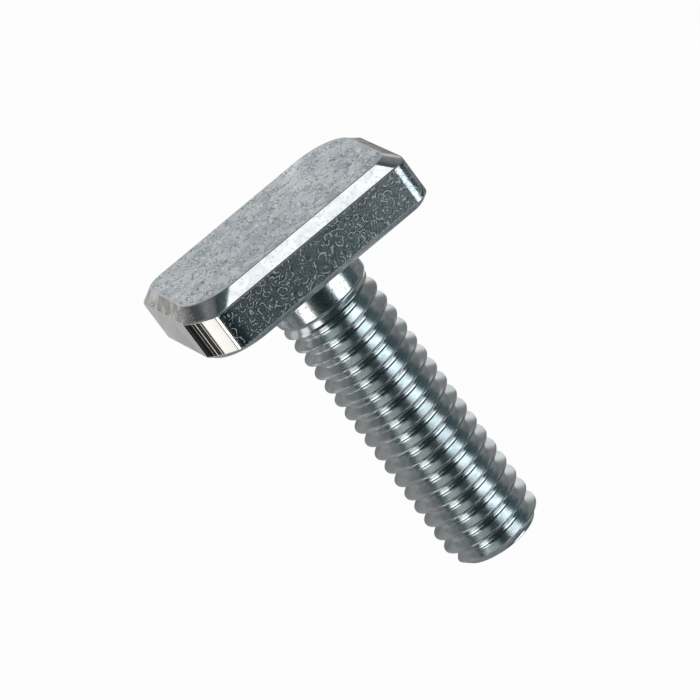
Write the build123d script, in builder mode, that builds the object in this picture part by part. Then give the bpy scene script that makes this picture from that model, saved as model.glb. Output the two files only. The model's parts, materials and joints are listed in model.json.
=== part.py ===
"""T slot bolt, M6 x 20: a forged hammer head on a rolled screw shank, in one piece.

The bolt is drawn standing on its head's seat, with the shank along +Z from the seat at Z = 0
and the head below it. The finished solid is then laid down as it comes to rest on a table: on
the long edge of its head and on the end of its thread.
"""
from math import atan2, ceil, cos, degrees, radians, sin, sqrt, tan

import os

from build123d import *

# ---- Head: a rectangular hammer that is wider than the slot one way and narrower the other ----
head_length = 15.3
head_width = 10.4
head_height = 3.5

# Two opposite corners are cut back to a circle about the shank, so that the head can swing
# round in the slot. The circle passes this far outside the head's ends.
swing_margin = 0.4
swing_radius = head_length / 2 + swing_margin
# The cuts are where that circle meets the side and the end.
swing_side_cut = head_length / 2 - sqrt(swing_radius**2 - (head_width / 2) ** 2)
swing_end_cut = head_width / 2 - sqrt(swing_radius**2 - (head_length / 2) ** 2)

# The other two corners stay nearly square and stop the head against the slot's walls.
stop_corner_cut = 0.7

# The outer face and the seat are each drawn in from the walls, with their swing corners rounded.
face_bevel = 0.7
face_corner_radius = 2.9
seat_bevel = 0.35
seat_corner_radius = 2.9

# ---- Shank: a plain neck under the head, then the screw thread ----
shank_length = 20.0
neck_diameter = 6.0
neck_length = 2.1
neck_chamfer = 0.15
underhead_radius = 0.3
tip_chamfer = 0.6

# ---- Thread: M6 coarse, right hand. The crest is a little under the nominal diameter ----
nominal_diameter = 6.0
crest_diameter = 5.9
thread_pitch = 1.0
flank_angle = 30.0
root_flat = thread_pitch / 4
# The groove is at its full depth from here on, and fades out towards the neck in one turn.
full_thread_start = 2.8
run_out_turns = 1.0
# The cutter stands this far out of the shank, so that no two faces coincide.
cutter_overlap = 0.15

# The ISO basic profile has a flat of an eighth of the pitch at the nominal diameter.
flank_run = tan(radians(flank_angle))
basic_depth = (thread_pitch - thread_pitch / 8 - root_flat) / 2 / flank_run
root_radius = nominal_diameter / 2 - basic_depth
crest_radius = crest_diameter / 2


def head_outline(inset, side_cut, end_cut, arc_radius):
    """Draw the head's outline as a face of the open sketch, with its walls drawn in by inset.

    One half runs up an end, across a stop corner, along a side and round a swing corner. The
    other half is the same, turned half a turn about the shank.
    """
    half_length = head_length / 2 - inset
    half_width = head_width / 2 - inset
    end_bottom = Vector(half_length, end_cut - half_width)
    end_top = Vector(half_length, half_width - stop_corner_cut)
    side_right = Vector(half_length - stop_corner_cut, half_width)
    side_left = Vector(side_cut - half_length, half_width)
    with BuildLine() as outline:
        for turn in (1, -1):
            Polyline(end_bottom * turn, end_top * turn, side_right * turn, side_left * turn)
            RadiusArc(side_left * turn, end_bottom * -turn, -arc_radius)
    make_face(outline.edges())


with BuildPart() as upright_bolt:
    # Head: one ruled loft through the outer face, the two ends of the walls and the seat.
    with BuildSketch(Plane.XY.offset(-head_height)):
        head_outline(face_bevel, face_corner_radius, face_corner_radius, face_corner_radius)
    with BuildSketch(Plane.XY.offset(face_bevel - head_height)):
        head_outline(0, swing_side_cut, swing_end_cut, swing_radius)
    with BuildSketch(Plane.XY.offset(-seat_bevel)):
        head_outline(0, swing_side_cut, swing_end_cut, swing_radius)
    with BuildSketch(Plane.XY):
        head_outline(seat_bevel, seat_corner_radius, seat_corner_radius, seat_corner_radius)
    loft(ruled=True)

    # Shank: neck, step down to the crest of the thread, and chamfered tip, turned in one profile.
    neck_radius = neck_diameter / 2
    step_height = neck_radius - crest_radius + neck_chamfer
    with BuildSketch(Plane.XZ):
        with BuildLine():
            Line((0, -head_height / 2), (neck_radius + underhead_radius, -head_height / 2))
            Line((neck_radius + underhead_radius, -head_height / 2), (neck_radius + underhead_radius, 0))
            RadiusArc((neck_radius + underhead_radius, 0), (neck_radius, underhead_radius), underhead_radius)
            Polyline(
                (neck_radius, underhead_radius),
                (neck_radius, neck_length),
                (crest_radius, neck_length + step_height),
                (crest_radius, shank_length - tip_chamfer),
                (crest_radius - tip_chamfer, shank_length),
                (0, shank_length),
                (0, -head_height / 2),
            )
        make_face()
    revolve(axis=Axis.Z)

    # Thread: one groove, cut from beyond the tip to the neck, where it climbs out of the shank.
    groove_turns = ceil((shank_length - full_thread_start) / thread_pitch) + 1
    groove_top = full_thread_start + groove_turns * thread_pitch
    run_out_height = run_out_turns * thread_pitch
    run_out_rise = neck_radius - root_radius + cutter_overlap
    run_out_angle = atan2(run_out_rise, run_out_height)
    with BuildLine() as groove_path:
        Helix(
            pitch=thread_pitch,
            height=groove_turns * thread_pitch,
            radius=root_radius,
            center=(0, 0, groove_top),
            direction=(0, 0, -1),
        )
        Helix(
            pitch=thread_pitch / cos(run_out_angle),
            height=run_out_height,
            radius=root_radius,
            center=(0, 0, full_thread_start),
            direction=(0, 0, -1),
            cone_angle=degrees(run_out_angle),
        )
    cutter_depth = crest_radius - root_radius + cutter_overlap
    root_half = root_flat / 2
    mouth_half = root_half + cutter_depth * flank_run
    groove_start = Plane(
        origin=groove_path.wire() @ 0,
        x_dir=(-1, 0, 0),
        z_dir=groove_path.wire() % 0,
    )
    with BuildSketch(groove_start):
        with BuildLine():
            Polyline(
                (0, -root_half),
                (cutter_depth, -mouth_half),
                (cutter_depth, mouth_half),
                (0, root_half),
                close=True,
            )
        make_face()
    sweep(path=groove_path.wire(), is_frenet=True, mode=Mode.SUBTRACT)

# Rest: the line from the wall's lower edge at the seat to the crest at the tip lies on the table.
heel_drop = head_width / 2
tip_drop = crest_radius
heel_height = -seat_bevel
rest_tilt = atan2(heel_drop - tip_drop, shank_length - tip_chamfer - heel_height)
seat_height = heel_drop * cos(rest_tilt) + heel_height * sin(rest_tilt)
# The origin is under the middle of the laid bolt, between its outer face and the end of its tip.
back_reach = head_height * cos(rest_tilt) + (head_width / 2 - face_bevel) * sin(rest_tilt)
front_reach = shank_length * cos(rest_tilt) + (crest_radius - tip_chamfer) * sin(rest_tilt)
lying = Plane(
    origin=((back_reach - front_reach) / 2, 0, seat_height),
    x_dir=(0, -1, 0),
    z_dir=(cos(rest_tilt), 0, -sin(rest_tilt)),
)

with BuildPart(lying) as t_slot_bolt:
    add(upright_bolt.part)

t_slot_bolt.part.label = "t_slot_bolt"
os.makedirs("parts", exist_ok=True)
export_step(t_slot_bolt.part, "parts/t_slot_bolt.step")

print(f"rest tilt {degrees(rest_tilt):.3f} degrees, seat centre at {lying.origin}")
print(f"thread root radius {root_radius:.3f} mm, volume {t_slot_bolt.part.volume:.2f} mm3")
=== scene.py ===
"""T slot bolt: the visual model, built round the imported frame.

The bolt is one forged and rolled piece. Its two visible pieces, the hammer head and the shank
with its neck and thread, are modelled standing on the bolt's own axis in millimetres, with the
seat under the head at height zero and the tip at the top. Each one is then laid down where the
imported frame's thread mount says, and takes the place of the CAD solid.
"""

import json
import logging
import math
from dataclasses import dataclass, field
from enum import Enum
from typing import Callable, Iterable, Optional, Union

import bmesh
import bpy
from mathutils import Matrix, Quaternion, Vector

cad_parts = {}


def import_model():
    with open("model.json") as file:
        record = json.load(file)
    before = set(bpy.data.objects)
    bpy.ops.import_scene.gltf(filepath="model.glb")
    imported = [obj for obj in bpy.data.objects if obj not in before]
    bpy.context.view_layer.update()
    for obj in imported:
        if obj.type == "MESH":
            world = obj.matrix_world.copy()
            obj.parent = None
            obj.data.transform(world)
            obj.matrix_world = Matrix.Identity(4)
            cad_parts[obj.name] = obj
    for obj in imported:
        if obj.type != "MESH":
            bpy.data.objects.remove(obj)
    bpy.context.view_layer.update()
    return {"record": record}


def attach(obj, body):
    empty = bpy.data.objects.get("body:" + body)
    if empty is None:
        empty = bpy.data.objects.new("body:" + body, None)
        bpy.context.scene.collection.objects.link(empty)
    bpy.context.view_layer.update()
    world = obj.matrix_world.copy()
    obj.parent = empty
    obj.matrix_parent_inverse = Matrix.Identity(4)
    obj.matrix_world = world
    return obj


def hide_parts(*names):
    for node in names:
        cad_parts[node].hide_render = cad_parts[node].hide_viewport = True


LOG = logging.getLogger("t_slot_bolt")
MM = 0.001
# Points nearer to each other than this many millimetres are in the same place.
TOUCH = 1e-4
Colour = tuple[float, float, float]
Number = Union[int, float]


# --------------------------------------------------------------------------- shader maths


class Signal:
    """A shader socket whose arithmetic adds Math nodes to its tree."""

    def __init__(self, shader: "Shader", socket: bpy.types.NodeSocket) -> None:
        """Wrap a socket.

        Args:
            shader: The shader whose tree the socket is in.
            socket: An output socket.
        """
        self.shader = shader
        self.socket = socket

    def _math(self, operation: str, *values: Union["Signal", Number]) -> "Signal":
        """Add one Math node.

        Args:
            operation: What the node does.
            values: Its inputs, in order.

        Returns:
            Its result.
        """
        node = self.shader.node("ShaderNodeMath", {"operation": operation}, dict(enumerate(values)))
        return self.shader.out(node)

    def __add__(self, other: Union["Signal", Number]) -> "Signal":
        """Add."""
        return self._math("ADD", self, other)

    __radd__ = __add__

    def __sub__(self, other: Union["Signal", Number]) -> "Signal":
        """Subtract."""
        return self._math("SUBTRACT", self, other)

    def __rsub__(self, other: Union["Signal", Number]) -> "Signal":
        """Subtract this from a number."""
        return self._math("SUBTRACT", other, self)

    def __mul__(self, other: Union["Signal", Number]) -> "Signal":
        """Multiply."""
        return self._math("MULTIPLY", self, other)

    __rmul__ = __mul__

    def magnitude(self) -> "Signal":
        """Take the size without the sign."""
        return self._math("ABSOLUTE", self)

    def sine(self) -> "Signal":
        """Take the sine."""
        return self._math("SINE", self)

    def ramp(self, low: float, high: float, to_low: float = 0.0, to_high: float = 1.0) -> "Signal":
        """Map a range smoothly onto another, held at both ends.

        Args:
            low: Where the input range starts.
            high: Where it ends.
            to_low: The result at low.
            to_high: The result at high.

        Returns:
            The mapped signal.
        """
        node = self.shader.node(
            "ShaderNodeMapRange",
            {"interpolation_type": "SMOOTHSTEP"},
            {"Value": self, "From Min": low, "From Max": high, "To Min": to_low, "To Max": to_high},
        )
        return self.shader.out(node)


class Shader:
    """The node tree of a material or a world, made from Python expressions."""

    def __init__(self, owner: Union[bpy.types.Material, bpy.types.World]) -> None:
        """Empty the tree and give it an output.

        Args:
            owner: The new material or world.
        """
        owner.use_nodes = True
        self.owner = owner
        self.tree = owner.node_tree
        self.tree.nodes.clear()
        kind = "Material" if isinstance(owner, bpy.types.Material) else "World"
        self.output = self.node(f"ShaderNodeOutput{kind}", {}, {})

    def surface(self, value: Signal) -> None:
        """Make a shader the tree's surface."""
        self.tree.links.new(value.socket, self.output.inputs["Surface"])

    def place(self) -> Signal:
        """Return the point's place in the object, or its direction in the world."""
        kind = "Object" if isinstance(self.owner, bpy.types.Material) else "Generated"
        return self.out(self.node("ShaderNodeTexCoord", {}, {}), kind)

    def node(self, kind: str, settings: dict, sockets: dict) -> bpy.types.Node:
        """Add a node, set it up, and fill or link its sockets.

        Args:
            kind: The node's type.
            settings: Attributes to set first.
            sockets: Input name or number to a value or a Signal.

        Returns:
            The node.
        """
        made = self.tree.nodes.new(kind)
        for key, value in settings.items():
            setattr(made, key, value)
        for key, value in sockets.items():
            self._fill(made.inputs[key], value)
        return made

    def _fill(self, target: bpy.types.NodeSocket, value: object) -> None:
        """Fill an input socket.

        Args:
            target: The socket.
            value: A Signal, which is linked to it, or a value.
        """
        if isinstance(value, Signal):
            self.tree.links.new(value.socket, target)
        else:
            target.default_value = value

    def out(self, node: bpy.types.Node, name: Union[str, int] = 0) -> Signal:
        """Return a node's output as a Signal."""
        return Signal(self, node.outputs[name])

    def vector(self, operation: str, *values: Union[Signal, Vector, Colour]) -> Signal:
        """Add one Vector Math node.

        Args:
            operation: What the node does.
            values: Its inputs, in order.

        Returns:
            Its result, which is a number for a length or a dot product.
        """
        node = self.node("ShaderNodeVectorMath", {"operation": operation}, dict(enumerate(values)))
        return self.out(node, "Value" if operation in ("LENGTH", "DOT_PRODUCT") else "Vector")

    def noise(self, place: Signal, size: float, detail: float, distortion: float = 0.0) -> Signal:
        """Add a noise.

        Args:
            place: Where it is read.
            size: About how far across its features are, in millimetres.
            detail: How many finer layers it has.
            distortion: How far it is stirred.

        Returns:
            The noise, about 0.5 on average.
        """
        node = self.node(
            "ShaderNodeTexNoise",
            {"noise_dimensions": "3D"},
            {"Vector": place, "Scale": 1 / (size * MM), "Detail": detail, "Distortion": distortion},
        )
        return self.out(node)

    def mix(self, mask: Signal, low: Union[Signal, Colour], high: Union[Signal, Colour]) -> Signal:
        """Mix two colours by a mask.

        Args:
            mask: 0 gives low and 1 gives high.
            low: A colour or a colour signal.
            high: The same.

        Returns:
            The mixed colour.
        """
        made = self.node("ShaderNodeMix", {"data_type": "RGBA"}, {"Factor": mask})
        for name, value in (("A", low), ("B", high)):
            target = next(s for s in made.inputs if s.name == name and s.type == "RGBA")
            self._fill(target, value if isinstance(value, Signal) else (*value, 1.0))
        return Signal(self, next(s for s in made.outputs if s.type == "RGBA"))


# --------------------------------------------------------------------------- the bolt's own frame


@dataclass(frozen=True)
class Lie:
    """How the finished bolt lies.

    Attributes:
        seat: The middle of the seat, in metres in the row frame.
        axis: The direction from the seat to the tip.
    """

    seat: Vector
    axis: Vector

    @classmethod
    def from_record(cls, record: dict, shank_length: float) -> "Lie":
        """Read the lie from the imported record's thread mount, whose place is the tip.

        Args:
            record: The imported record.
            shank_length: From the seat to the tip, in millimetres.

        Returns:
            The lie.
        """
        thread = next(m for m in record["mounts"] if m["name"] == "thread")
        axis = Vector(thread["axis"]).normalized()
        return cls(Vector(thread["pos_m"]) - axis * shank_length * MM, axis)

    @property
    def rotation(self) -> Matrix:
        """Turn the bolt's own axes into the row's: X is minus the row's Y, and Z is the shank.

        Returns:
            The rotation.
        """
        across = Vector((0, -1, 0))
        up = self.axis.cross(across)
        return Matrix((across, up, self.axis)).transposed()

    def lay(self, piece: bpy.types.Object) -> None:
        """Lay a finished piece down, in metres, with its place in its mesh.

        Args:
            piece: The piece, standing on the bolt's own axis, in millimetres.
        """
        piece.matrix_world = (
            Matrix.Translation(self.seat) @ self.rotation.to_4x4() @ Matrix.Scale(MM, 4)
        )
        select_only(piece)
        bpy.ops.object.transform_apply(location=True, rotation=True, scale=True)


# --------------------------------------------------------------------------- modelling helpers


def deselect_all() -> None:
    """Leave nothing selected and nothing active."""
    if bpy.context.object and bpy.context.object.mode != "OBJECT":
        bpy.ops.object.mode_set(mode="OBJECT")
    for each in bpy.context.selected_objects:
        each.select_set(False)


def select_only(piece: bpy.types.Object) -> None:
    """Make one object the selected and active one.

    Args:
        piece: The object.
    """
    deselect_all()
    piece.select_set(True)
    bpy.context.view_layer.objects.active = piece


def pick(piece: bpy.types.Object, test: Callable[[Vector], bool], kind: str = "VERT") -> None:
    """Select the vertices of the mesh being edited that pass a test, and no others.

    Args:
        piece: The object in edit mode.
        test: Says of a vertex's place whether it is picked.
        kind: VERT, EDGE or FACE. An edge or face is picked if all its vertices pass.
    """
    bpy.ops.mesh.select_mode(type=kind)
    bpy.ops.mesh.select_all(action="DESELECT")
    mesh = bmesh.from_edit_mesh(piece.data)
    parts = {"VERT": mesh.verts, "EDGE": mesh.edges, "FACE": mesh.faces}[kind]
    for part in parts:
        if all(test(v.co) for v in ([part] if kind == "VERT" else part.verts)):
            part.select_set(True)
    bmesh.update_edit_mesh(piece.data)


def apply_modifier(piece: bpy.types.Object, kind: str, **settings: object) -> None:
    """Add a modifier, set it up and apply it.

    Args:
        piece: The object.
        kind: The modifier's type.
        settings: Its attributes.
    """
    select_only(piece)
    modifier = piece.modifiers.new(kind.title(), kind)
    for key, value in settings.items():
        setattr(modifier, key, value)
    bpy.ops.object.modifier_apply(modifier=modifier.name)


def round_corners(radius: float, steps: int) -> None:
    """Round the picked corners of the flat outline being edited.

    Args:
        radius: How far along the sides the rounding starts.
        steps: The number of faces round each corner.
    """
    bpy.ops.mesh.bevel(
        offset=radius, offset_type="OFFSET", segments=steps, profile=0.5, affect="VERTICES"
    )


def point_outwards() -> None:
    """Turn every face of the closed mesh being edited outwards, and leave edit mode."""
    bpy.ops.mesh.select_all(action="SELECT")
    bpy.ops.mesh.normals_make_consistent(inside=False)
    bpy.ops.object.mode_set(mode="OBJECT")


def smooth_step(value: float, low: float, high: float) -> float:
    """Ease from 0 to 1, held outside.

    Args:
        value: What the result follows.
        low: Where the result leaves 0.
        high: Where it reaches 1.

    Returns:
        The eased share.
    """
    held = min(max((value - low) / (high - low), 0.0), 1.0)
    return held * held * (3 - 2 * held)


def bent_between(share: float, start: float, bend: float, stop: float) -> float:
    """Follow a quadratic curve, which is pulled towards its bend without reaching it.

    Args:
        share: How far along the curve, from 0 to 1.
        start: Where it starts.
        bend: Where it is pulled.
        stop: Where it stops.

    Returns:
        The place there.
    """
    left = 1 - share
    return left**2 * start + 2 * share * left * bend + share**2 * stop


def arc(radius: float, turn: float, steps: int) -> list[tuple[float, float]]:
    """Return the points of an arc that starts level and curves up.

    Args:
        radius: The arc's radius.
        turn: The angle that it turns through, in radians.
        steps: The number of steps along it.

    Returns:
        How far along and how far up each point is from the first.
    """
    angles = [turn * index / steps for index in range(steps + 1)]
    return [(radius * math.sin(angle), radius * (1 - math.cos(angle))) for angle in angles]


# --------------------------------------------------------------------------- finishes


@dataclass
class Coat:
    """A coat of plate while its material is being made.

    Attributes:
        shader: The material's shader.
        place: The point's place in the piece.
        colour: The plate's colour there.
        rough: Its roughness.
        metal: How metallic it is.
        height: How high its surface stands, in metres.
    """

    shader: Shader
    place: Signal
    colour: Signal
    rough: Signal
    metal: Union[Signal, float]
    height: Signal

    def tint(self, mask: Signal, colour: Colour) -> None:
        """Colour the plate where a mask is 1."""
        self.colour = self.shader.mix(mask, self.colour, colour)

    def material(self) -> bpy.types.Material:
        """Give the material its surface.

        Returns:
            The finished material.
        """
        shader = self.shader
        bump = shader.node(
            "ShaderNodeBump", {}, {"Strength": 1.0, "Distance": 1.0, "Height": self.height}
        )
        surface = shader.node(
            "ShaderNodeBsdfPrincipled",
            {},
            {
                "Base Color": self.colour,
                "Roughness": self.rough,
                "Metallic": self.metal,
                "Normal": shader.out(bump),
            },
        )
        shader.surface(shader.out(surface))
        return shader.owner


@dataclass(frozen=True)
class ZincFinish:
    """Bright zinc plate on steel, with the nested hairline curls that its crystals grow in.

    Attributes:
        name: The material's name.
        tint: The plate's colour.
        stain: The colour where it is duller.
        roughness: The plate's roughness.
        chalk: How chalky the plate is, from 0, bare metal, to 1.
        patch: The size of the dull patches, in millimetres, as every size here.
        dulling: How far the roughness goes up in them.
        wave_size: The size of the forging's slow waves.
        wave_height: How high they stand.
        crystal: The size of the crystals, each with its own nest of curls.
        drawn: How much taller than wide they are, along the row's Z.
        hairlines: How many hairlines a crystal's nest has, or 0 for none.
        hair_tint: The hairlines' colour.
        hair_roughness: How much rougher a hairline is than the plate.
        hair_height: How high a hairline stands.
        hair_bloom: How chalky a hairline is, from 0, bare metal, to 1.
        furrow: How dark the furrows between the hairlines are, from 0 to 1.
        pit_size: The size of the fine pits.
        pit_height: How deep they go, or 0 for none.
        pit_tint: The colour in the pits and the furrows.
        pits_until: How far from the seat along the shank the pits go.
        pits_fade: How far before and past that they fade out.
        cut_lines: The distance between the lines that a trimming die leaves, or 0 for none.
        cut_height: How high those lines stand.
        crease_shade_from: How far from the shank, along the head, the cut is painted dark as
            painted shade next to the end wall's crease.
        crease_shade_fade: How far before and past that the painted shade starts.
        crease_shade_tint: The colour of the painted shade.
    """

    name: str
    tint: Colour = (0.76, 0.77, 0.78)
    stain: Colour = (0.62, 0.63, 0.64)
    roughness: float = 0.2
    chalk: float = 0.0
    patch: float = 1.2
    dulling: float = 0.12
    wave_size: float = 5.0
    wave_height: float = 0.01
    crystal: float = 0.6
    drawn: float = 1.0
    hairlines: float = 3.0
    hair_tint: Colour = (0.88, 0.90, 0.91)
    hair_roughness: float = 0.4
    hair_height: float = 0.002
    hair_bloom: float = 0.6
    furrow: float = 0.0
    pit_size: float = 0.16
    pit_height: float = 0.0
    pit_tint: Colour = (0.25, 0.26, 0.27)
    pits_until: float = 0.0
    pits_fade: float = 0.2
    cut_lines: float = 0.0
    cut_height: float = 0.0
    crease_shade_from: float = 0.0
    crease_shade_fade: float = 0.03
    crease_shade_tint: Colour = (0.02, 0.017, 0.015)

    def build(self, lie: Lie) -> bpy.types.Material:
        """Make the material.

        Args:
            lie: How the bolt lies, which says where the pits end.

        Returns:
            The material.
        """
        shader = Shader(bpy.data.materials.new(self.name))
        place = shader.place()
        dull = shader.noise(place, self.patch, detail=4.0, distortion=0.8).ramp(0.42, 0.62)
        waves = shader.noise(place, self.wave_size, detail=1.0)
        coat = Coat(
            shader=shader,
            place=place,
            colour=shader.mix(dull, self.tint, self.stain),
            rough=dull * self.dulling + self.roughness,
            metal=1.0 - self.chalk,
            height=waves * (self.wave_height * MM),
        )
        if self.hairlines:
            self._add_hairlines(coat)
        if self.pit_height:
            self._add_pits(coat, lie)
        if self.cut_lines:
            self._add_cut(coat)
        return coat.material()

    def _add_hairlines(self, coat: Coat) -> None:
        """Draw the raised hairlines and the dark furrows between them.

        Args:
            coat: The coat that they grow in.
        """
        curls = self._curls(coat)
        # The top of each ring's wave is a hairline, and its bottom a furrow.
        hair = curls.ramp(0.62, 0.92)
        furrow = curls.ramp(-0.45, -0.95)
        coat.tint(furrow * self.furrow, self.pit_tint)
        coat.tint(hair, self.hair_tint)
        coat.height = coat.height + hair * (self.hair_height * MM)
        coat.rough = coat.rough + hair * self.hair_roughness
        coat.metal = coat.metal - hair * self.hair_bloom

    def _curls(self, coat: Coat) -> Signal:
        """Draw nested curls round a point in each crystal, broken here and there.

        Args:
            coat: The coat that they grow in.

        Returns:
            1 in the middle of a hairline and -1 in the middle of a furrow.
        """
        shader = coat.shader
        place = shader.vector("MULTIPLY", coat.place, (1.0, 1.0, 1.0 / self.drawn))
        # A noise a little larger than the crystals bends their rings by up to half a crystal.
        bend = shader.node(
            "ShaderNodeTexNoise",
            {"noise_dimensions": "3D"},
            {"Vector": place, "Scale": 1 / (1.2 * self.crystal * MM), "Detail": 1.0},
        )
        reach = (0.9 * self.crystal * MM,) * 3
        bent = shader.vector("MULTIPLY_ADD", shader.out(bend, "Color"), reach, place)
        cells = shader.node(
            "ShaderNodeTexVoronoi",
            {"voronoi_dimensions": "3D", "feature": "F1"},
            {"Vector": bent, "Scale": 1 / (self.crystal * MM)},
        )
        rings = shader.out(cells, "Distance") * (2 * math.pi * self.hairlines)
        patches = shader.noise(place, 0.55 * self.crystal, detail=2.0, distortion=0.3)
        unbroken = patches.ramp(0.40, 0.54)
        return rings.sine() * unbroken

    def _add_pits(self, coat: Coat, lie: Lie) -> None:
        """Sink fine pits in the plate, as far along the shank as they go.

        Args:
            coat: The coat that they are in.
            lie: How the bolt lies.
        """
        seat = lie.seat.dot(lie.axis) / MM
        along = coat.shader.vector("DOT_PRODUCT", coat.place, lie.axis / MM) - seat
        pits = coat.shader.noise(coat.place, self.pit_size, detail=2.0).ramp(0.46, 0.34)
        pits = pits * along.ramp(self.pits_until + self.pits_fade, self.pits_until - self.pits_fade)
        coat.tint(pits, self.pit_tint)
        coat.height = coat.height - pits * (self.pit_height * MM)

    def _add_cut(self, coat: Coat) -> None:
        """Draw the trimming die's fine lines along the shank, and paint shade on the cut next to
        the end wall's crease.

        Args:
            coat: The coat that is cut.
        """
        split = coat.shader.node("ShaderNodeSeparateXYZ", {}, {"Vector": coat.place})
        outward = coat.shader.out(split, "Y").magnitude() * (1 / MM)
        noise = coat.shader.node(
            "ShaderNodeTexNoise",
            {"noise_dimensions": "1D"},
            {"W": outward, "Scale": 1 / self.cut_lines, "Detail": 2.0},
        )
        lines = coat.shader.out(noise)
        crease_shade = outward.ramp(self.crease_shade_from - self.crease_shade_fade, self.crease_shade_from + self.crease_shade_fade)
        # The cut is painted dark next to the end wall's crease, as painted shade, and a few of the
        # lines stay bright through it.
        bright = lines.ramp(0.60, 0.64)
        coat.tint(crease_shade * (1.0 - bright), self.crease_shade_tint)
        coat.height = coat.height + lines * (self.cut_height * MM)


def add_slots(piece: bpy.types.Object, zones: type[Enum]) -> None:
    """Give a piece an empty material slot for each of its zones."""
    for _ in zones:
        piece.data.materials.append(None)


def dress(piece: bpy.types.Object, finishes: dict[Enum, ZincFinish], lie: Lie) -> None:
    """Fill a piece's material slots.

    Args:
        piece: The piece, with a slot for each zone.
        finishes: The finish of each zone, whose value is its slot's number.
        lie: How the bolt lies.
    """
    for zone, finish in finishes.items():
        piece.data.materials[zone.value] = finish.build(lie)


# --------------------------------------------------------------------------- the head


class HeadZone(Enum):
    """The surfaces of the head that are finished differently."""

    FACE = 0
    BEVEL = 1
    END_BEVEL = 2
    WALL = 3
    END_WALL = 4
    SWING = 5
    SEAT = 6
    EDGE = 7


@dataclass(frozen=True)
class HeadOutline:
    """One outline of the head, flat across the shank.

    Attributes:
        name: Its name while it is made.
        inset: How far it is drawn in from the walls.
        height: Its height.
        corner: The radius of its swing corners, or None where they follow the swing circle.
    """

    name: str
    inset: float
    height: float
    corner: Optional[float] = None


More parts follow.
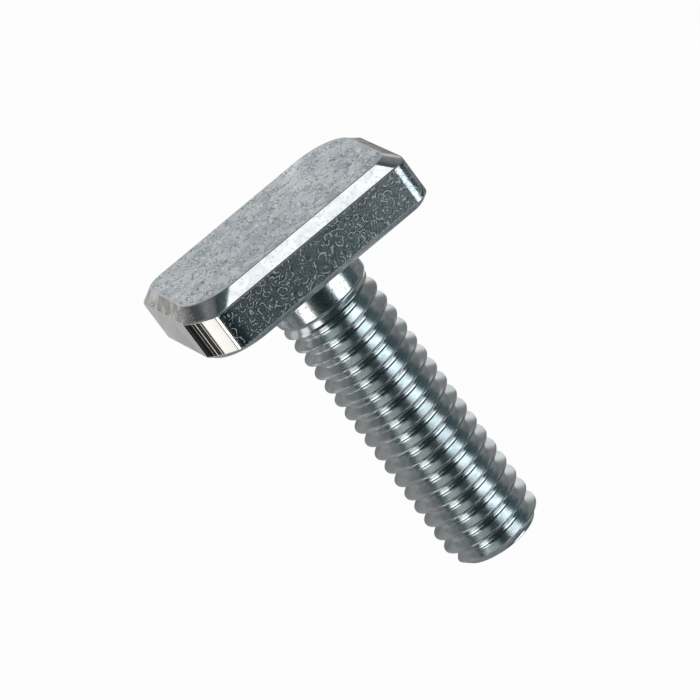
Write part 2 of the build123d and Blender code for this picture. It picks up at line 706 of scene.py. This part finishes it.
@dataclass
class HammerHead:
    """The forged rectangular head, with two corners cut to the swing circle.

    Attributes:
        length: Along the row's Y, in millimetres, as every size here.
        width: Across.
        height: From the seat to the outer face.
        swing_margin: How far the swing circle passes outside the ends.
        stop_cut: How far the stop corners are rounded.
        stop_steps: The number of faces round each of them.
        face_bevel: How far the outer face is drawn in from the walls, and how deep.
        face_corner: The radius of the outer face's swing corners.
        seat_bevel: The same at the seat.
        seat_corner: The radius of the seat's swing corners.
        wall_ease: How far along the wall it bends towards the swing circle.
        circle_ease: How far along the swing circle it bends towards the wall.
        corner_steps: The number of faces round each swing corner.
        edge_radius: How far the worn edges are rounded.
        edge_steps: The number of faces across each of them.
        edge_angle: How sharp an edge wears, in degrees.
    """

    length: float = 15.3
    width: float = 10.4
    height: float = 3.5
    swing_margin: float = 0.4
    stop_cut: float = 1.0
    stop_steps: int = 8
    face_bevel: float = 0.7
    face_corner: float = 2.9
    seat_bevel: float = 0.35
    seat_corner: float = 2.9
    wall_ease: float = 0.9
    circle_ease: float = 0.36
    corner_steps: int = 32
    edge_radius: float = 0.07
    edge_steps: int = 3
    edge_angle: float = 12.0

    @property
    def swing_radius(self) -> float:
        """The radius of the circle that the swing corners are cut to."""
        return self.length / 2 + self.swing_margin

    def _outlines(self) -> list[HeadOutline]:
        """Return the head's outlines, from the outer face to the seat."""
        outer = -self.height
        return [
            HeadOutline("head_face_ring", self.face_bevel, outer, self.face_corner),
            HeadOutline("head_wall_ring_low", 0.0, outer + self.face_bevel),
            HeadOutline("head_wall_ring_high", 0.0, -self.seat_bevel),
            HeadOutline("head_seat_ring", self.seat_bevel, 0.0, self.seat_corner),
        ]

    def _ring(self, outline: HeadOutline) -> bpy.types.Object:
        """Make a flat face of one outline: a rectangle whose corners are rounded.

        Args:
            outline: Its size and place.

        Returns:
            The face, as an object of its own.
        """
        half_length = self.length / 2 - outline.inset
        half_width = self.width / 2 - outline.inset
        deselect_all()
        bpy.ops.mesh.primitive_plane_add(size=2, location=(0, 0, outline.height))
        ring = bpy.context.object
        ring.name = outline.name
        ring.scale = (half_length, half_width, 1)
        bpy.ops.object.transform_apply(location=True, rotation=True, scale=True)
        bpy.ops.object.mode_set(mode="EDIT")
        pick(ring, lambda co: co.x * co.y > 0)
        round_corners(self.stop_cut, self.stop_steps)
        far_x, far_y = half_length - TOUCH, half_width - TOUCH
        pick(ring, lambda co: co.x * co.y < 0 and abs(co.x) > far_x and abs(co.y) > far_y)
        # Any rounding gives the points that then move onto the swing circle.
        round_corners(outline.corner or self.face_corner, self.corner_steps)
        if outline.corner is None:
            self._onto_swing_circle(ring, half_length, half_width)
        bpy.ops.object.mode_set(mode="OBJECT")
        return ring

    def _onto_swing_circle(
        self, ring: bpy.types.Object, half_length: float, half_width: float
    ) -> None:
        """Move the swing corners' points onto the swing circle, and ease it into the wall.

        Args:
            ring: The outline being edited.
            half_length: Half its length.
            half_width: Half its width.
        """
        radius = self.swing_radius
        mesh = bmesh.from_edit_mesh(ring.data)
        meeting = math.sqrt(radius**2 - half_width**2)
        start = math.acos(half_length / radius)
        leave = math.acos(meeting / radius) - self.circle_ease / radius
        # One half of a corner's points stays on the circle, and the other eases into the wall.
        eased = self.corner_steps // 2
        for side in (1, -1):
            corner = sorted(
                (v for v in mesh.verts if v.co.x * side > 0 > v.co.y * side),
                key=lambda v: abs(v.co.y),
            )
            last = len(corner) - 1 - eased
            for index, vert in enumerate(corner):
                angle = start + (leave - start) * min(index / last, 1)
                x, y = radius * math.cos(angle), radius * math.sin(angle)
                if index > last:
                    share = (index - last) / eased
                    x = bent_between(share, x, meeting, meeting - self.wall_ease)
                    y = bent_between(share, y, half_width, half_width)
                vert.co.x, vert.co.y = side * x, -side * y
        bmesh.update_edit_mesh(ring.data)

    def build(self) -> bpy.types.Object:
        """Model the head from its outlines, bridged to each other.

        Returns:
            The head, standing on the bolt's own axis, in millimetres.
        """
        outlines = self._outlines()
        rings = [self._ring(outline) for outline in outlines]
        head = rings[0]
        select_only(head)
        for ring in rings:
            ring.select_set(True)
        bpy.ops.object.join()
        head.name = head.data.name = "hammer_head"
        bpy.ops.object.mode_set(mode="EDIT")
        levels = [outline.height for outline in outlines]
        pick(head, lambda co: any(abs(co.z - level) < TOUCH for level in levels[1:-1]), "FACE")
        bpy.ops.mesh.delete(type="ONLY_FACE")
        for low, high in zip(levels, levels[1:]):
            self._bridge(head, low, high)
        point_outwards()
        self._zone(head)
        # The slots come before the bevel, which takes its material from one of them.
        add_slots(head, HeadZone)
        apply_modifier(
            head,
            "BEVEL",
            width=self.edge_radius,
            segments=self.edge_steps,
            limit_method="ANGLE",
            angle_limit=math.radians(self.edge_angle),
            material=HeadZone.EDGE.value,
        )
        bpy.ops.object.shade_smooth()
        apply_modifier(head, "WEIGHTED_NORMAL", weight=100, keep_sharp=False)
        return head

    @staticmethod
    def _bridge(head: bpy.types.Object, low: float, high: float) -> None:
        """Join two neighbouring outlines with a wall.

        Args:
            head: The head being edited.
            low: One outline's height.
            high: The other's.
        """
        bpy.ops.mesh.select_mode(type="EDGE")
        bpy.ops.mesh.select_all(action="DESELECT")
        mesh = bmesh.from_edit_mesh(head.data)
        for edge in mesh.edges:
            heights = [vert.co.z for vert in edge.verts]
            if any(all(abs(z - level) < TOUCH for z in heights) for level in (low, high)):
                edge.select_set(True)
        bmesh.update_edit_mesh(head.data)
        bpy.ops.mesh.bridge_edge_loops()

    def _zone(self, head: bpy.types.Object) -> None:
        """Give each face the number of its zone, from where it looks and lies.

        Args:
            head: The head, before its edges are rounded.
        """
        meeting = math.sqrt(self.swing_radius**2 - (self.width / 2) ** 2)
        # How far a face's normal points each way, where 1 is straight there.
        flat, sloped, end_bevel, end_wall, square_end = 0.98, 0.1, 0.6, 0.8, 0.995
        for face in head.data.polygons:
            normal, middle = face.normal, face.center
            to_end = abs(normal.x)
            on_corner = middle.x * middle.y < 0 and abs(middle.x) > meeting
            if normal.z < -flat:
                zone = HeadZone.FACE
            elif normal.z < -sloped:
                zone = HeadZone.END_BEVEL if to_end > end_bevel else HeadZone.BEVEL
            elif normal.z > sloped:
                zone = HeadZone.SEAT
            elif on_corner and to_end < square_end:
                zone = HeadZone.SWING
            else:
                zone = HeadZone.END_WALL if to_end > end_wall else HeadZone.WALL
            face.material_index = zone.value

    @staticmethod
    def finishes() -> dict[Enum, ZincFinish]:
        """Return the finish of each zone of the head."""
        return {
            HeadZone.FACE: ZincFinish(
                "zinc_satin_face",
                tint=(0.74, 0.80, 0.83),
                stain=(0.56, 0.63, 0.67),
                roughness=0.28,
                crystal=0.5,
                drawn=1.7,
                hairlines=2.8,
                hair_tint=(1.0, 1.0, 1.0),
                hair_roughness=0.0,
                hair_height=0.0015,
                hair_bloom=0.0,
                furrow=0.8,
            ),
            HeadZone.BEVEL: ZincFinish(
                "zinc_bright_bevel",
                tint=(0.90, 0.92, 0.93),
                stain=(0.78, 0.80, 0.82),
                roughness=0.13,
                dulling=0.03,
                wave_height=0.0,
                crystal=0.5,
                hairlines=2.5,
                hair_tint=(0.70, 0.73, 0.75),
                hair_roughness=0.1,
                hair_height=0.0,
                hair_bloom=0.0,
            ),
            HeadZone.END_BEVEL: ZincFinish(
                "zinc_mottled_bevel",
                tint=(0.74, 0.72, 0.69),
                stain=(0.50, 0.48, 0.45),
                roughness=0.28,
                crystal=0.8,
                hairlines=3.6,
                hair_height=0.001,
                hair_bloom=0.0,
                furrow=0.7,
            ),
            HeadZone.WALL: ZincFinish(
                "zinc_flaked_wall",
                tint=(0.76, 0.82, 0.84),
                stain=(0.36, 0.42, 0.44),
                roughness=0.19,
                patch=0.6,
                dulling=0.05,
                crystal=0.5,
                hairlines=2.8,
                hair_roughness=0.25,
                hair_height=0.001,
                hair_bloom=0.8,
                furrow=0.7,
            ),
            HeadZone.END_WALL: ZincFinish(
                "zinc_sawn_end",
                tint=(0.76, 0.76, 0.755),
                stain=(0.66, 0.66, 0.65),
                roughness=0.38,
                patch=2.0,
                dulling=0.04,
                hair_roughness=0.1,
                hair_height=0.0003,
                hair_bloom=0.1,
            ),
            HeadZone.SWING: ZincFinish(
                "zinc_drawn_corner",
                tint=(0.90, 0.89, 0.87),
                stain=(0.86, 0.85, 0.83),
                roughness=0.15,
                dulling=0.0,
                wave_height=0.0,
                hairlines=0.0,
                cut_lines=0.06,
                cut_height=0.0005,
                # Painted shade on the cut next to the end wall's crease.
                crease_shade_from=6.95,
            ),
            HeadZone.SEAT: ZincFinish("zinc_satin_seat", roughness=0.28, hair_bloom=0.3),
            # Painted highlight: the rounded edges are lighter and chalkier than the faces, as well
            # as worn.
            HeadZone.EDGE: ZincFinish(
                "zinc_edge_wear_and_highlight",
                tint=(0.93, 0.94, 0.95),
                stain=(0.85, 0.86, 0.87),
                roughness=0.3,
                chalk=0.35,
                dulling=0.0,
                wave_height=0.0,
                hairlines=0.0,
            ),
        }


# --------------------------------------------------------------------------- the shank


class ShankZone(Enum):
    """The surfaces of the shank that are finished differently."""

    THREAD = 0
    CREST = 1


@dataclass
class RolledShank:
    """The neck and the rolled thread.

    Attributes:
        length: From the seat to the tip, in millimetres, as every size here.
        neck_radius: The plain neck's radius.
        neck_length: Where the neck ends.
        neck_step: Where the neck narrows to the blank, measured from its end.
        neck_cut: Where the screwed thread is cut, and the neck is drawn out of it.
        fillet: The radius of the fillet under the head.
        fillet_steps: The number of faces along it.
        buried: How far the shank goes on inside the head.
        crest_radius: The thread's outer radius.
        root_radius: The radius at the bottom of the groove.
        pitch: The thread's pitch.
        flank_angle: Half the angle between the flanks, in degrees.
        root_round: The radius of the corners at the root.
        root_steps: The number of faces round each of them.
        crest_land: The width of the crest.
        crest_round: The radius of the crest's edges.
        crest_steps: The number of faces round each of them.
        crest_rise: Where the blank swells to the full crest, measured from the neck's end.
        lap_width: The width of the fold that rolling leaves along the crest.
        lap_depth: Its depth.
        thread_turn: How far the thread is turned about the shank, in turns.
        blank_radius: The radius just before the first crest, as the bar was before rolling.
        full_thread: Where the thread reaches its full depth.
        run_out: Over what length the groove fades out.
        run_out_past: How far its bottom climbs past the neck's radius in that length.
        tip_chamfer: The chamfer at the tip.
        tip_rim: How much of the chamfer is worn and carries a painted highlight, measured along the
            shank.
        steps: The number of faces in each turn.
        sharp_angle: From what angle an edge looks sharp, in degrees.
    """

    length: float = 20.0
    neck_radius: float = 3.0
    neck_length: float = 2.1
    neck_step: tuple[float, float] = (-0.08, 0.14)
    neck_cut: float = 1.2
    fillet: float = 0.3
    fillet_steps: int = 8
    buried: float = 1.0
    crest_radius: float = 2.95
    root_radius: float = 2.37
    pitch: float = 1.0
    flank_angle: float = 30.0
    root_round: float = 0.144
    root_steps: int = 5
    crest_land: float = 0.12
    crest_round: float = 0.07
    crest_steps: int = 3
    crest_rise: tuple[float, float] = (0.2, 0.7)
    lap_width: float = 0.032
    lap_depth: float = 0.012
    thread_turn: float = 0.28
    blank_radius: float = 2.85
    full_thread: float = 2.8
    run_out: float = 1.0
    run_out_past: float = 0.05
    tip_chamfer: float = 0.602
    tip_rim: float = 0.14
    steps: int = 112
    sharp_angle: float = 50.0

    def _groove_half(self) -> list[tuple[float, float]]:
        """Return half of one pitch of the thread, from the root's middle to the crest's.

        Returns:
            Distance along the axis from the root's middle, and radius, of each point.
        """
        slope = math.tan(math.radians(self.flank_angle))
        turn = math.radians(90 - self.flank_angle)
        edge_z = (self.pitch - self.crest_land) / 2
        corner_z = edge_z - (self.crest_radius - self.root_radius) * slope
        # Each corner is an arc that leaves its flat and meets the flank.
        root_flat = corner_z - self.root_round * math.tan(turn / 2)
        crest_flat = edge_z + self.crest_round * math.tan(turn / 2)
        root = arc(self.root_round, turn, self.root_steps)
        crest = reversed(arc(self.crest_round, turn, self.crest_steps))
        # The fold is a notch in the crest's middle, steeper at its mouth.
        middle = self.pitch / 2
        return [
            (0.0, self.root_radius),
            *((root_flat + along, self.root_radius + up) for along, up in root),
            *((crest_flat - along, self.crest_radius - down) for along, down in crest),
            (middle - self.lap_width / 2, self.crest_radius),
            (middle - self.lap_width / 4, self.crest_radius - 0.6 * self.lap_depth),
            (middle, self.crest_radius - self.lap_depth),
        ]

    def _profile(self) -> list[tuple[float, float]]:
        """Return one whole pitch of the thread, from root to root."""
        half = self._groove_half()
        return half + [(self.pitch - z, r) for z, r in reversed(half[:-1])]

    def _stock(self, height: float) -> float:
        """Work out the bar that the groove is rolled in.

        Args:
            height: How far from the seat.

        Returns:
            The bar's radius there.
        """
        past_neck = height - self.neck_length
        radius = self.neck_radius
        radius += (self.blank_radius - self.neck_radius) * smooth_step(past_neck, *self.neck_step)
        radius += (self.crest_radius - self.blank_radius) * smooth_step(past_neck, *self.crest_rise)
        into_tip = height - (self.length - self.tip_chamfer)
        if into_tip > 0:
            radius = min(radius, self.crest_radius - into_tip)
        return radius

    def _lift(self, height: float) -> float:
        """Work out how the groove fades out towards the neck.

        Args:
            height: How far from the seat.

        Returns:
            How far the groove's bottom has climbed there.
        """
        rise = self.neck_radius - self.root_radius + self.run_out_past
        return rise * max((self.full_thread - height) / self.run_out, 0.0)

    def build(self) -> bpy.types.Object:
        """Model the shank: a screwed profile, cut to length, with the neck drawn out of it.

        Returns:
            The shank, standing on the bolt's own axis, in millimetres.
        """
        shank = self._screw_thread()
        bpy.ops.object.mode_set(mode="EDIT")
        bpy.ops.mesh.select_all(action="SELECT")
        bpy.ops.mesh.remove_doubles(threshold=TOUCH)
        self._fit_bar(shank)
        self._cut_off(self.neck_cut, -1, fill=False)
        self._cut_off(self.length, 1, fill=True)
        self._draw_out_neck(shank)
        point_outwards()
        bpy.ops.object.shade_smooth_by_angle(angle=math.radians(self.sharp_angle))
        apply_modifier(shank, "WEIGHTED_NORMAL", weight=100, keep_sharp=True)
        add_slots(shank, ShankZone)
        self._zone(shank)
        return shank

    def _screw_thread(self) -> bpy.types.Object:
        """Draw one pitch of the thread by extruding a point, and screw it along the shank.

        Returns:
            The thread's surface, from before the neck's cut to past the tip.
        """
        first = math.floor(self.neck_cut / self.pitch) - 1
        turns = math.ceil(self.length / self.pitch) + 1 - first
        deselect_all()
        bpy.ops.mesh.primitive_plane_add(size=1)
        shank = bpy.context.object
        shank.name = shank.data.name = "rolled_shank"
        bpy.ops.object.mode_set(mode="EDIT")
        bpy.ops.mesh.select_mode(type="VERT")
        mesh = bmesh.from_edit_mesh(shank.data)
        verts = list(mesh.verts)
        for vert in verts[1:]:
            mesh.verts.remove(vert)
        # The profile is on the side away from the bolt's own X at each whole pitch.
        points = self._profile()
        along, radius = points[0]
        verts[0].co = (-radius, 0, first * self.pitch + along)
        verts[0].select = True
        bmesh.update_edit_mesh(shank.data)
        for (z_from, r_from), (z_to, r_to) in zip(points, points[1:]):
            bpy.ops.mesh.extrude_region_move(
                TRANSFORM_OT_translate={"value": (r_from - r_to, 0, z_to - z_from)}
            )
        bpy.ops.object.mode_set(mode="OBJECT")
        apply_modifier(
            shank,
            "SCREW",
            axis="Z",
            angle=2 * math.pi,
            screw_offset=self.pitch,
            iterations=turns,
            steps=self.steps,
            render_steps=self.steps,
            use_merge_vertices=False,
            use_smooth_shade=True,
            use_normal_calculate=True,
        )
        return shank

    def _fit_bar(self, shank: bpy.types.Object) -> None:
        """Turn the thread about the shank, fade it out, and keep it within its bar.

        Args:
            shank: The thread's surface being edited.
        """
        mesh = bmesh.from_edit_mesh(shank.data)
        turned = Matrix.Rotation(2 * math.pi * self.thread_turn, 2)
        for vert in mesh.verts:
            radius = math.hypot(vert.co.x, vert.co.y)
            vert.co.xy = turned @ vert.co.xy
            wanted = min(self._stock(vert.co.z), radius + self._lift(vert.co.z))
            vert.co.x *= wanted / radius
            vert.co.y *= wanted / radius
        bmesh.update_edit_mesh(shank.data)

    @staticmethod
    def _cut_off(height: float, side: int, fill: bool) -> None:
        """Cut the shank being edited across.

        Args:
            height: Where it is cut.
            side: 1 to cut off what is above, and -1 what is below.
            fill: Whether the cut is closed.
        """
        bpy.ops.mesh.select_all(action="SELECT")
        bpy.ops.mesh.bisect(
            plane_co=(0, 0, height), plane_no=(0, 0, side), clear_outer=True, use_fill=fill
        )

    def _draw_out_neck(self, shank: bpy.types.Object) -> None:
        """Extrude the neck's edge down to the fillet, flare it, and close it inside the head.

        Args:
            shank: The shank being edited, with its edge at the neck's cut.
        """
        fillet = arc(self.fillet, math.pi / 2, self.fillet_steps)
        path = [
            (self.neck_cut, self.neck_radius),
            *((self.fillet - along, self.neck_radius + out) for along, out in fillet),
            (-self.buried, self.neck_radius + self.fillet),
        ]
        pick(shank, lambda co: abs(co.z - self.neck_cut) < TOUCH, "EDGE")
        for (z_from, r_from), (z_to, r_to) in zip(path, path[1:]):
            bpy.ops.mesh.extrude_region_move(
                TRANSFORM_OT_translate={"value": (0, 0, z_to - z_from)}
            )
            bpy.ops.transform.resize(
                value=(r_to / r_from, r_to / r_from, 1), center_override=(0, 0, 0)
            )
        bpy.ops.mesh.edge_face_add()

    def _zone(self, shank: bpy.types.Object) -> None:
        """Give the faces on the crest and the tip's rim, which handling burnishes and which carry a
        painted highlight, their number.

        Args:
            shank: The finished shank.
        """
        inner = self.crest_radius - self.crest_round
        full_crest = self.neck_length + self.crest_rise[1]
        for face in shank.data.polygons:
            middle = face.center
            on_crest = math.hypot(middle.x, middle.y) > inner and middle.z > full_crest
            on_rim = middle.z > self.length - self.tip_rim
            zone = ShankZone.CREST if on_crest or on_rim else ShankZone.THREAD
            face.material_index = zone.value

    @staticmethod
    def finishes() -> dict[Enum, ZincFinish]:
        """Return the finish of each zone of the shank."""
        return {
            ShankZone.THREAD: ZincFinish(
                "zinc_glossy_thread",
                tint=(0.84, 0.88, 0.895),
                stain=(0.72, 0.765, 0.78),
                roughness=0.2,
                dulling=0.0,
                wave_height=0.0,
                hairlines=0.0,
                pit_height=0.0015,
                pit_tint=(0.42, 0.43, 0.44),
                pits_until=1.9,
            ),
            # Painted highlight: the crest and the tip's rim are lighter and chalkier than the
            # thread, as well as burnished.
            ShankZone.CREST: ZincFinish(
                "zinc_crest_burnish_and_highlight",
                tint=(0.94, 0.95, 0.96),
                stain=(0.88, 0.89, 0.90),
                roughness=0.16,
                chalk=0.12,
                dulling=0.0,
                wave_height=0.0,
                hairlines=0.0,
            ),
        }


# --------------------------------------------------------------------------- the studio


@dataclass(frozen=True)
class Softbox:
    """One large soft lamp or small bright card, aimed at a point on or near the bolt.

    Attributes:
        name: The lamp's name.
        azimuth: Its direction from that point, in degrees from the row's X towards its Y.
        elevation: Its height above the horizon, in degrees.
        along: Its size along the row's X, in millimetres, as every size here.
        across: Its other size.
        radiance: How bright it looks, where 1 is white.
        colour: Its colour.
        distance: How far it stands off.
        middle: The point it is aimed at.
    """

    name: str
    azimuth: float
    elevation: float
    along: float
    across: float
    radiance: float
    colour: Colour = (1.0, 1.0, 1.0)
    distance: float = 250.0
    middle: tuple[float, float, float] = (0.0, 0.0, 4.0)

    def build(self) -> None:
        """Add the lamp."""
        a, e = math.radians(self.azimuth), math.radians(self.elevation)
        away = Vector((math.cos(a) * math.cos(e), math.sin(a) * math.cos(e), math.sin(e)))
        along = (Vector((1, 0, 0)) - away * away.x).normalized()
        data = bpy.data.lights.new(self.name, "AREA")
        data.shape = "RECTANGLE"
        data.size, data.size_y = self.along * MM, self.across * MM
        # A flat lamp's radiance is a quarter of its power for each square metre.
        data.energy = self.radiance * 4 * data.size * data.size_y
        data.color = self.colour
        lamp = bpy.data.objects.new(self.name, data)
        bpy.context.scene.collection.objects.link(lamp)
        lamp.visible_camera = False
        lamp.location = (Vector(self.middle) + away * self.distance) * MM
        turned = Matrix((along, away.cross(along), away)).transposed()
        lamp.rotation_euler = turned.to_euler()


@dataclass(frozen=True)
class FloorPool:
    """A pool of painted light on the floor, seen only in the metal, which is painted shade where
    its glow is below 0.

    Attributes:
        middle: Its middle, in millimetres in the row frame.
        reach: How far it goes along the row's X and Y.
        glow: How much brighter it is, where 1 is white, or darker, below 0.
        edge: How far inside and outside its reach it fades, as a share of the reach.
    """

    middle: tuple[float, float]
    reach: tuple[float, float]
    glow: float
    edge: float = 0.25

    def signal(self, shader: Shader, place: Signal) -> Signal:
        """Return its brightness on the floor.

        Args:
            shader: The floor's shader.
            place: The place on the floor.

        Returns:
            Its glow inside it, and 0 outside.
        """
        middle = (self.middle[0] * MM, self.middle[1] * MM, 0.0)
        scale = (1 / (self.reach[0] * MM), 1 / (self.reach[1] * MM), 0.0)
        offset = shader.vector("MULTIPLY", shader.vector("SUBTRACT", place, middle), scale)
        return shader.vector("LENGTH", offset).ramp(1 - self.edge, 1 + self.edge, self.glow, 0.0)


@dataclass
class Studio:
    """The floor, the lamps, the world and the camera.

    Attributes:
        azimuth: The camera's azimuth, in degrees.
        elevation: The camera's elevation.
        roll: How far the camera is turned about its view.
        aim: The point in the middle of the view, in millimetres in the row frame.
        frame_width: The width of the view at that point, in millimetres.
        distance: From that point to the camera, in metres.
        floor_size: The floor's side, in metres.
        floor_paint: The floor's plain grey.
        floor_white: How much of what the camera sees of it is white; the rest keeps the shadow.
        floor_mirrored: How much of what the metal sees of it is its glow.
        floor_glow: How bright that glow is near the bolt, where 1 is white.
        floor_far: The same further off.
        floor_fade: From where to where it changes, in millimetres from the bolt.
        pools: The pools of painted light and painted shade on the floor.
        horizon: The colour of the world at the horizon, for the light.
        zenith: The same overhead.
        sky_fade: From what to what height of a direction it changes, where 1 is straight up.
        softboxes: The lamps.
    """

    azimuth: float = -56.2
    elevation: float = 73.8
    roll: float = 107.3
    aim: tuple[float, float, float] = (-2.91, -0.79, 6.25)
    frame_width: float = 39.2
    distance: float = 0.6
    floor_size: float = 4.0
    floor_paint: float = 0.8
    floor_white: float = 0.975
    floor_mirrored: float = 0.8
    floor_glow: float = 0.2
    floor_far: float = 0.05
    floor_fade: tuple[float, float] = (30.0, 150.0)
    pools: Iterable[FloorPool] = (
        # Pools of painted light before the head's face, and beside the head.
        FloorPool(middle=(-17.0, 3.0), reach=(6.0, 16.0), glow=0.5),
        FloorPool(middle=(-9.0, -11.0), reach=(6.0, 4.5), glow=0.4),
        # Pools of painted light along the shank's two sides.
        FloorPool(middle=(2.0, 4.0), reach=(14.0, 2.6), glow=0.7),
        FloorPool(middle=(1.0, -6.5), reach=(15.0, 3.5), glow=0.1),
        # Pools of painted shade off the head's near corner, close by and further off.
        FloorPool(middle=(-22.0, -17.0), reach=(8.0, 7.0), glow=-0.17),
        FloorPool(middle=(-110.0, -80.0), reach=(85.0, 62.0), glow=-0.15),
    )
    horizon: Colour = (0.055, 0.09, 0.098)
    zenith: Colour = (0.010, 0.020, 0.023)
    sky_fade: tuple[float, float] = (0.05, 0.75)
    softboxes: Iterable[Softbox] = (
        Softbox(
            "softbox_warm",
            azimuth=-70.5,
            elevation=28.5,
            along=115.0,
            across=112.0,
            radiance=1.5,
            colour=(1.0, 0.97, 0.93),
        ),
        Softbox(
            "softbox_cool",
            azimuth=50.0,
            elevation=45.0,
            along=150.0,
            across=158.0,
            radiance=1.5,
            colour=(0.88, 0.965, 1.0),
        ),
        Softbox(
            "softbox_back",
            azimuth=170.0,
            elevation=28.0,
            along=130.0,
            across=150.0,
            radiance=0.82,
        ),
        Softbox(
            "softbox_front",
            azimuth=-37.0,
            elevation=27.0,
            along=150.0,
            across=150.0,
            radiance=0.3,
            colour=(0.92, 1.0, 0.98),
        ),
        # A small card close to the head's near corner.
        Softbox(
            "corner_card",
            azimuth=-71.0,
            elevation=-14.0,
            along=5.0,
            across=6.5,
            radiance=0.72,
            colour=(1.0, 0.98, 0.94),
            distance=11.0,
            middle=(-9.7, -7.0, 9.0),
        ),
    )

    def build(self) -> None:
        """Build the studio."""
        self._camera()
        self._world()
        self._floor()
        for softbox in self.softboxes:
            softbox.build()
        bpy.context.scene.view_settings.view_transform = "Standard"

    def _camera(self) -> None:
        """Aim the camera down at the bolt, turned about its view."""
        a, e = math.radians(self.azimuth), math.radians(self.elevation)
        back = Vector((math.sin(a) * math.cos(e), -math.cos(a) * math.cos(e), math.sin(e)))
        data = bpy.data.cameras.new("camera")
        data.sensor_width = 36.0
        data.lens = data.sensor_width * self.distance / (self.frame_width * MM)
        data.clip_start, data.clip_end = 0.01, 20.0
        camera = bpy.data.objects.new("camera", data)
        bpy.context.scene.collection.objects.link(camera)
        camera.location = Vector(self.aim) * MM + back * self.distance
        camera.rotation_mode = "QUATERNION"
        level = (-back).to_track_quat("-Z", "Y")
        camera.rotation_quaternion = Quaternion(back, math.radians(self.roll)) @ level
        bpy.context.scene.camera = camera

    def _world(self) -> None:
        """Make the world white for the camera, and dim, darkest overhead, for the light."""
        shader = Shader(bpy.data.worlds.new("world"))
        bpy.context.scene.world = shader.owner
        split = shader.node("ShaderNodeSeparateXYZ", {}, {"Vector": shader.place()})
        high = shader.out(split, "Z").ramp(*self.sky_fade)
        dim = shader.mix(high, self.horizon, self.zenith)
        seen = shader.out(shader.node("ShaderNodeLightPath", {}, {}), "Is Camera Ray")
        background = shader.node(
            "ShaderNodeBackground", {}, {"Color": shader.mix(seen, dim, (1.0, 1.0, 1.0))}
        )
        shader.surface(shader.out(background))

    def _floor(self) -> None:
        """Lay a floor that is white but for a faint shadow, and has its glow in the metal."""
        deselect_all()
        bpy.ops.mesh.primitive_plane_add(size=self.floor_size)
        floor = bpy.context.object
        floor.name = "studio_floor"
        shader = Shader(bpy.data.materials.new("studio_floor_paint"))
        grey = (self.floor_paint,) * 3
        plain = shader.node("ShaderNodeBsdfDiffuse", {}, {"Color": (*grey, 1), "Roughness": 0.5})
        place = shader.place()
        near, far = (away * MM for away in self.floor_fade)
        glow = shader.vector("LENGTH", place).ramp(near, far, self.floor_glow, self.floor_far)
        for pool in self.pools:
            glow = glow + pool.signal(shader, place)
        path = shader.node("ShaderNodeLightPath", {}, {})
        camera = shader.out(path, "Is Camera Ray")
        glossy = shader.out(path, "Is Glossy Ray")
        white = shader.node(
            "ShaderNodeEmission", {}, {"Color": (1, 1, 1, 1), "Strength": camera + glossy * glow}
        )
        seen = camera * self.floor_white + glossy * self.floor_mirrored
        mixed = shader.node(
            "ShaderNodeMixShader", {}, {0: seen, 1: shader.out(plain), 2: shader.out(white)}
        )
        shader.surface(shader.out(mixed))
        floor.data.materials.append(shader.owner)


# --------------------------------------------------------------------------- the whole bolt


@dataclass
class TSlotBolt:
    """The whole bolt.

    Attributes:
        head: Its head.
        shank: Its neck and thread.
    """

    head: HammerHead = field(default_factory=HammerHead)
    shank: RolledShank = field(default_factory=RolledShank)

    def build(self, record: dict) -> list[bpy.types.Object]:
        """Build, finish and lay down both pieces, in the CAD node's place.

        Args:
            record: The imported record.

        Returns:
            The pieces.
        """
        lie = Lie.from_record(record, self.shank.length)
        pieces = []
        for part in (self.head, self.shank):
            piece = part.build()
            dress(piece, part.finishes(), lie)
            lie.lay(piece)
            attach(piece, "root")
            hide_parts("t_slot_bolt")
            pieces.append(piece)
        return pieces


def main() -> None:
    """Build the studio and the bolt round the frame, and report each piece."""
    logging.basicConfig(level=logging.INFO, format="%(name)s: %(message)s")
    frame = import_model()
    Studio().build()
    for piece in TSlotBolt().build(frame["record"]):
        LOG.info("%s: %d faces", piece.name, len(piece.data.polygons))


if __name__ == "__main__":
    main()
